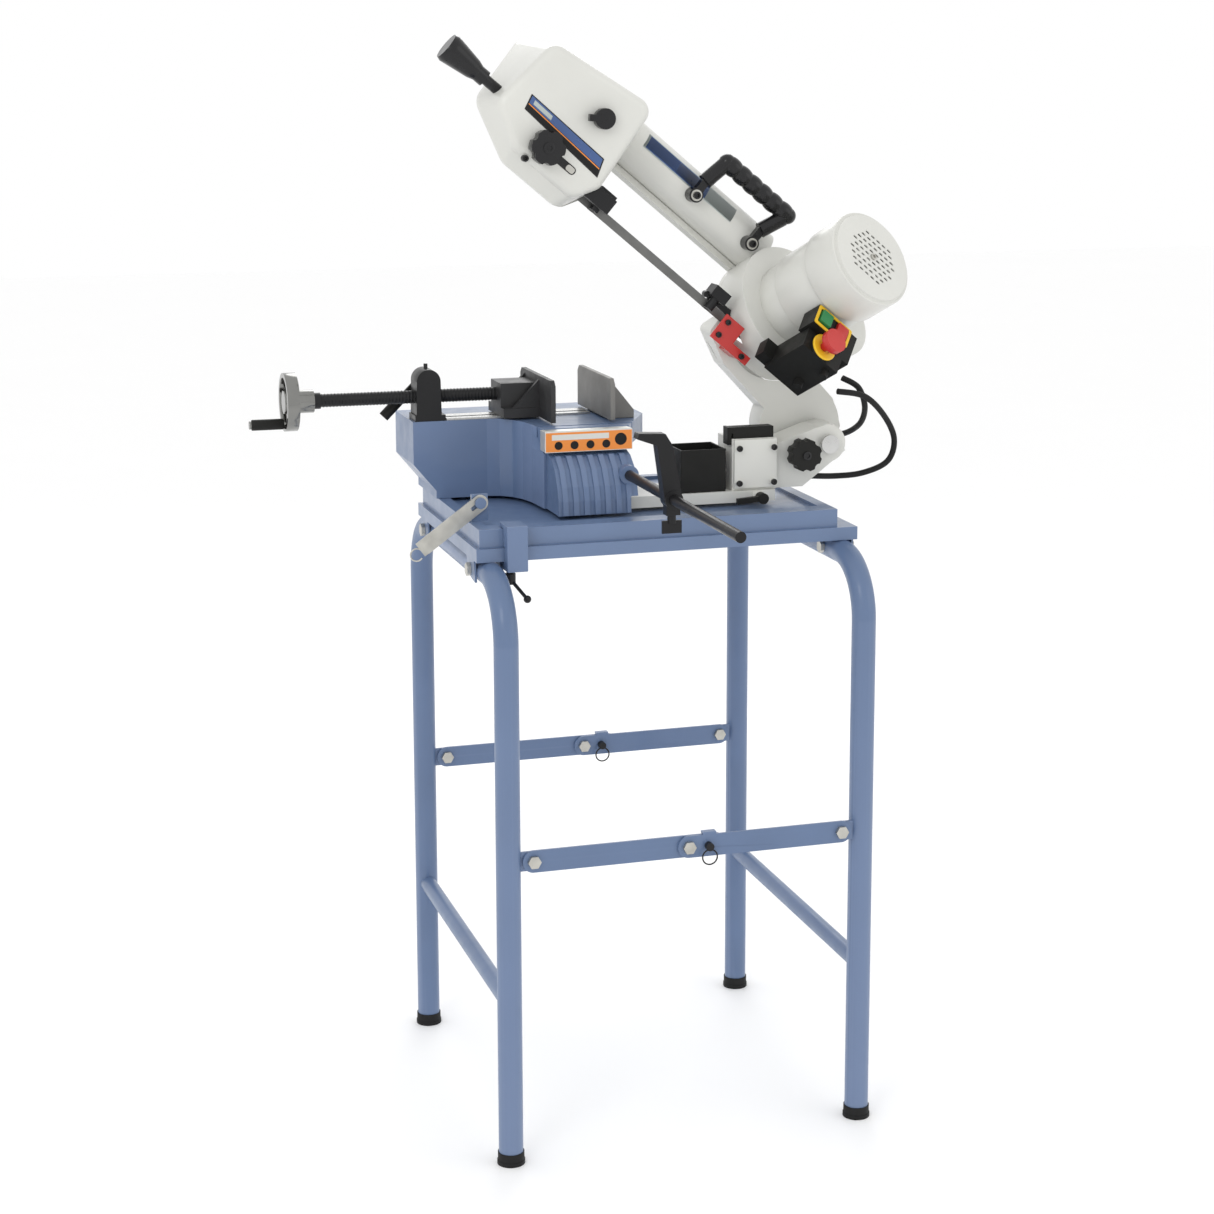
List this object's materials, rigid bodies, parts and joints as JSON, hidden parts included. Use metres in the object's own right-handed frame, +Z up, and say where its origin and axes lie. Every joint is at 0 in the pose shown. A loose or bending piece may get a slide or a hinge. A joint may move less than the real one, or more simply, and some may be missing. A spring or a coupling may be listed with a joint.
{
  "type": "band saw",
  "caption": "Metal-cutting band saw with a swivelling, tilting bow, quick vise and chip tray, on a folding tube stand.",
  "frame": {"origin": "centre of the whole machine's box at floor level, with the bow raised as stored", "axes": "+X to the right along the blade and the vise screw, +Y from the operator to the back, +Z up"},
  "size_m": [0.9519, 0.8819, 1.5851],
  "materials": {
    "stand_blue": "satin",
    "warm_white": "gloss",
    "jaw_grey": "satin",
    "black_metal": "satin",
    "black_plastic": "matte",
    "bright_steel": "satin",
    "chrome": "polished",
    "cast_wheel": "satin",
    "red_plastic": "gloss",
    "green_plastic": "gloss",
    "rubber_black": "matte",
    "bar_aluminium": "satin"
  },
  "bodies": {
    "stand": {"left_frame": "stand_blue", "right_frame": "stand_blue", "foot_caps": "rubber_black", "brace_links": "stand_blue", "stand_bolts": "bright_steel", "tray": "stand_blue", "edge_clamp": "stand_blue", "base_casting": "stand_blue", "bed_rails": "bright_steel", "fixed_jaw": "jaw_grey", "screw_bracket": "black_metal", "support_bar": "bar_aluminium", "stop_rod": "black_metal"},
    "front_brace_pin": {"front_brace_pin": "black_metal"},
    "rear_brace_pin": {"rear_brace_pin": "black_metal"},
    "clamp_screw": {"clamp_screw": "black_metal"},
    "latch": {"latch_bar": "bright_steel"},
    "moving_jaw": {"moving_jaw": "jaw_grey"},
    "lead_screw": {"lead_screw": "black_metal", "handwheel": "chrome"},
    "handwheel_grip": {"handwheel_grip": "black_plastic"},
    "release_lever": {"release_lever": "black_plastic"},
    "stop": {"stop_arm": "black_metal"},
    "stop_screw": {"stop_screw": "black_metal"},
    "swivel": {"swivel_arm": "warm_white", "column": "warm_white", "column_cover": "warm_white", "chip_bin": "black_plastic", "limit_switch": "black_plastic", "pivot_shaft": "bright_steel", "switch_lead": "rubber_black"},
    "lock_lever": {"lock_lever": "black_plastic"},
    "feed_knob": {"feed_knob": "black_plastic"},
    "bow": {"bow_frame": "warm_white", "head_housing": "warm_white", "rear_covers": "warm_white", "blade": "bright_steel", "gearbox_case": "warm_white", "motor_housing": "warm_white", "fan_cover": "warm_white", "bearings": "bright_steel", "carry_handle": "black_plastic", "lower_guide": "black_metal", "blade_guard": "red_plastic", "switch_box": "black_plastic", "motor_lead": "rubber_black"},
    "drive_wheel": {"drive_wheel": "cast_wheel", "drive_shaft": "bright_steel"},
    "tension_slide": {"tension_slide": "cast_wheel"},
    "idler_wheel": {"idler_wheel": "cast_wheel"},
    "tension_handle": {"tension_handle": "black_plastic"},
    "reduction_gear": {"reduction_gear": "bright_steel"},
    "motor_rotor": {"motor_rotor": "bright_steel"},
    "guide_arm": {"guide_arm": "black_metal", "upper_guide": "black_metal"},
    "arm_knob": {"arm_knob": "black_plastic"},
    "wing_knob": {"wing_knob": "black_plastic"},
    "start_button": {"start_button": "green_plastic"},
    "stop_button": {"stop_button": "red_plastic"},
    "estop_button": {"estop_button": "red_plastic"}
  },
  "joints": [
    {"name": "front_brace_pin_pull", "type": "slide", "parent": "stand", "child": "front_brace_pin", "axis": [0, -1, 0], "range_m": [0, 0.03]},
    {"name": "rear_brace_pin_pull", "type": "slide", "parent": "stand", "child": "rear_brace_pin", "axis": [0, -1, 0], "range_m": [0, 0.03]},
    {"name": "clamp_screw_turn", "type": "hinge", "parent": "stand", "child": "clamp_screw", "pos_m": [-0.154, -0.023, 0.83], "axis": [0, 0, 1], "range_deg": [-180, 180]},
    {"name": "latch_lift", "type": "hinge", "parent": "stand", "child": "latch", "pos_m": [-0.183, 0.031, 0.931], "axis": [0, 1, 0], "range_deg": [0, 150]},
    {"name": "jaw_slide", "type": "slide", "parent": "stand", "child": "moving_jaw", "axis": [1, 0, 0], "range_m": [-0.065, 0.08]},
    {"name": "screw_turn", "type": "hinge", "parent": "moving_jaw", "child": "lead_screw", "pos_m": [-0.185, 0.246, 1.056], "axis": [1, 0, 0], "range_deg": [-7700, 9600]},
    {"name": "grip_spin", "type": "hinge", "parent": "lead_screw", "child": "handwheel_grip", "pos_m": [-0.445, 0.246, 1.024], "axis": [1, 0, 0], "continuous": true},
    {"name": "release_lift", "type": "hinge", "parent": "stand", "child": "release_lever", "pos_m": [-0.212, 0.271, 1.083], "axis": [0, 1, 0], "range_deg": [0, 55]},
    {"name": "stop_slide", "type": "slide", "parent": "stand", "child": "stop", "axis": [0, 1, 0], "range_m": [-0.2, 0.09]},
    {"name": "stop_screw_turn", "type": "hinge", "parent": "stop", "child": "stop_screw", "pos_m": [0.041, -0.159, 0.93], "axis": [0, 0, 1], "range_deg": [-90, 90]},
    {"name": "swivel_turn", "type": "hinge", "parent": "stand", "child": "swivel", "pos_m": [0.041, 0.126, 0.913], "axis": [0, 0, 1], "range_deg": [0, 60]},
    {"name": "lock_lever_turn", "type": "hinge", "parent": "swivel", "child": "lock_lever", "pos_m": [0.245, 0.041, 0.9135], "axis": [0, 1, 0], "range_deg": [0, 90]},
    {"name": "feed_knob_turn", "type": "hinge", "parent": "swivel", "child": "feed_knob", "pos_m": [0.313, 0.041, 0.974], "axis": [0, 1, 0], "range_deg": [-270, 270]},
    {"name": "bow_tilt", "type": "hinge", "parent": "swivel", "child": "bow", "pos_m": [0.36, 0.131, 0.985], "axis": [0, 1, 0], "range_deg": [-41, 8]},
    {"name": "drive_spin", "type": "hinge", "parent": "bow", "child": "drive_wheel", "pos_m": [0.31495, 0.17341, 1.16467], "axis": [0.3957, -0.788, 0.4716], "continuous": true},
    {"name": "idler_slide", "type": "slide", "parent": "bow", "child": "tension_slide", "axis": [0.766, 0, -0.6428], "range_m": [0, 0.004]},
    {"name": "idler_spin", "type": "hinge", "parent": "tension_slide", "child": "idler_wheel", "pos_m": [-0.05122, 0.17341, 1.47192], "axis": [0.3957, -0.788, 0.4716], "continuous": true},
    {"name": "tension_handle_turn", "type": "hinge", "parent": "bow", "child": "tension_handle", "pos_m": [-0.14633, 0.12477, 1.52348], "axis": [0.766, 0, -0.6428], "range_deg": [0, 960]},
    {"name": "reduction_spin", "type": "hinge", "parent": "bow", "child": "reduction_gear", "pos_m": [0.38466, 0.12612, 1.1544], "axis": [0.3957, -0.788, 0.4716], "continuous": true},
    {"name": "rotor_spin", "type": "hinge", "parent": "bow", "child": "motor_rotor", "pos_m": [0.36244, 0.07884, 1.22126], "axis": [0.3957, -0.788, 0.4716], "continuous": true},
    {"name": "guide_slide", "type": "slide", "parent": "bow", "child": "guide_arm", "axis": [0.766, 0, -0.6428], "range_m": [0, 0.05]},
    {"name": "arm_knob_turn", "type": "hinge", "parent": "guide_arm", "child": "arm_knob", "pos_m": [-0.06986, 0.071, 1.42793], "axis": [0, 1, 0], "range_deg": [-180, 180]},
    {"name": "wing_knob_turn", "type": "hinge", "parent": "bow", "child": "wing_knob", "pos_m": [0.01683, 0.076, 1.46746], "axis": [0, 1, 0], "range_deg": [-90, 90]},
    {"name": "start_press", "type": "slide", "parent": "bow", "child": "start_button", "axis": [-0.3957, 0.788, -0.4716], "range_m": [0, 0.003], "stiffness_N_per_m": 400},
    {"name": "stop_press", "type": "slide", "parent": "bow", "child": "stop_button", "axis": [-0.3957, 0.788, -0.4716], "range_m": [0, 0.003], "stiffness_N_per_m": 400},
    {"name": "estop_press", "type": "slide", "parent": "bow", "child": "estop_button", "axis": [-0.3957, 0.788, -0.4716], "range_m": [0, 0.005], "stiffness_N_per_m": 400}
  ],
  "couplings": [
    {"joint": "jaw_slide", "follows": "screw_turn", "m_per_rad": 0.00047746},
    {"joint": "idler_spin", "follows": "drive_spin", "ratio": 1},
    {"joint": "reduction_spin", "follows": "drive_spin", "ratio": -3},
    {"joint": "rotor_spin", "follows": "drive_spin", "ratio": 12},
    {"joint": "tension_handle_turn", "follows": "idler_slide", "rad_per_m": 4188.8}
  ]
}
